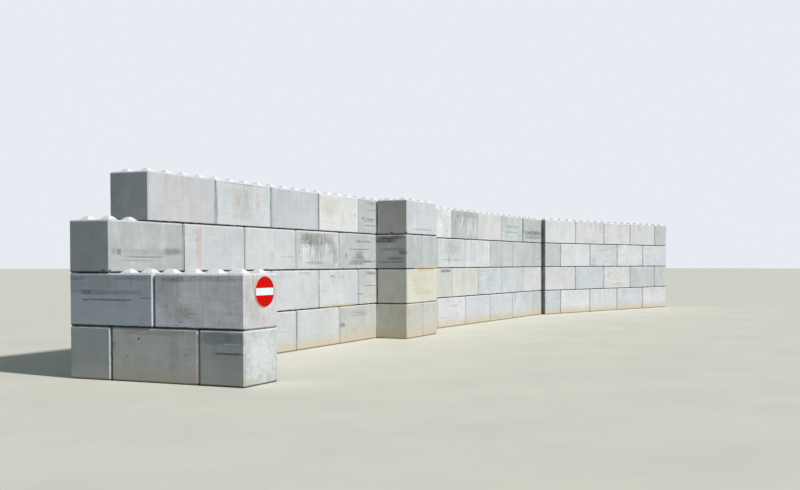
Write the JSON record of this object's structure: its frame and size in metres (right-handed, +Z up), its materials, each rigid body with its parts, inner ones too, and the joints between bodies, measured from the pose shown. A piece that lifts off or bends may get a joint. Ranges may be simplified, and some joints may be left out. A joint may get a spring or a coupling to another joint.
{
  "type": "interlocking concrete block wall",
  "caption": "Free-standing wall of large interlocking concrete blocks, in bays, with a low wing at the corner, a square pier and a round traffic plate on the wing's end.",
  "frame": {"origin": "on the ground, at the centre of the corner cell, where the centre lines of the first bay and of the wing cross", "axes": "+X along the first bay, away from the corner; the wing runs towards -Y from it; +Z up"},
  "size_m": [25.1621, 4.2971, 3.27],
  "materials": {
    "wall_concrete": "pale cast concrete, weathered, rain streaks and sandy foot",
    "wing_concrete": null,
    "sign_enamel": "red and white enamelled sheet"
  },
  "bodies": {
    "root": {"bay1_course1_block1": "wall_concrete", "bay1_course1_block2": "wall_concrete", "bay1_course1_block3": "wall_concrete", "bay1_course1_block4": "wall_concrete", "bay1_course1_block5": "wall_concrete", "bay1_course2_block1": "wall_concrete", "bay1_course2_block2": "wall_concrete", "bay1_course2_block3": "wall_concrete", "bay1_course2_block4": "wall_concrete", "bay1_course2_block5": "wall_concrete", "bay1_course3_block1": "wall_concrete", "bay1_course3_block2": "wall_concrete", "bay1_course3_block3": "wall_concrete", "bay1_course3_block4": "wall_concrete", "bay1_course3_block5": "wall_concrete", "bay1_course4_block1": "wall_concrete", "bay1_course4_block2": "wall_concrete", "bay1_course4_block3": "wall_concrete", "bay1_course4_block4": "wall_concrete", "bay1_course4_block5": "wall_concrete", "bay2_course1": "wall_concrete", "bay2_course2": "wall_concrete", "bay2_course3": "wall_concrete", "bay2_course4": "wall_concrete", "bay3_course1": "wall_concrete", "bay3_course2": "wall_concrete", "bay3_course3": "wall_concrete", "bay3_course4": "wall_concrete", "no_entry_sign": "sign_enamel", "pier_course1_left": "wall_concrete", "pier_course1_right": "wall_concrete", "pier_course2_back": "wall_concrete", "pier_course2_front": "wall_concrete", "pier_course3_left": "wall_concrete", "pier_course3_right": "wall_concrete", "pier_course4_back": "wall_concrete", "pier_course4_front": "wall_concrete", "wing_course1_block1": "wing_concrete", "wing_course1_block2": "wing_concrete", "wing_course2_block1": "wing_concrete", "wing_course2_block2": "wing_concrete"}
  },
  "joints": []
}
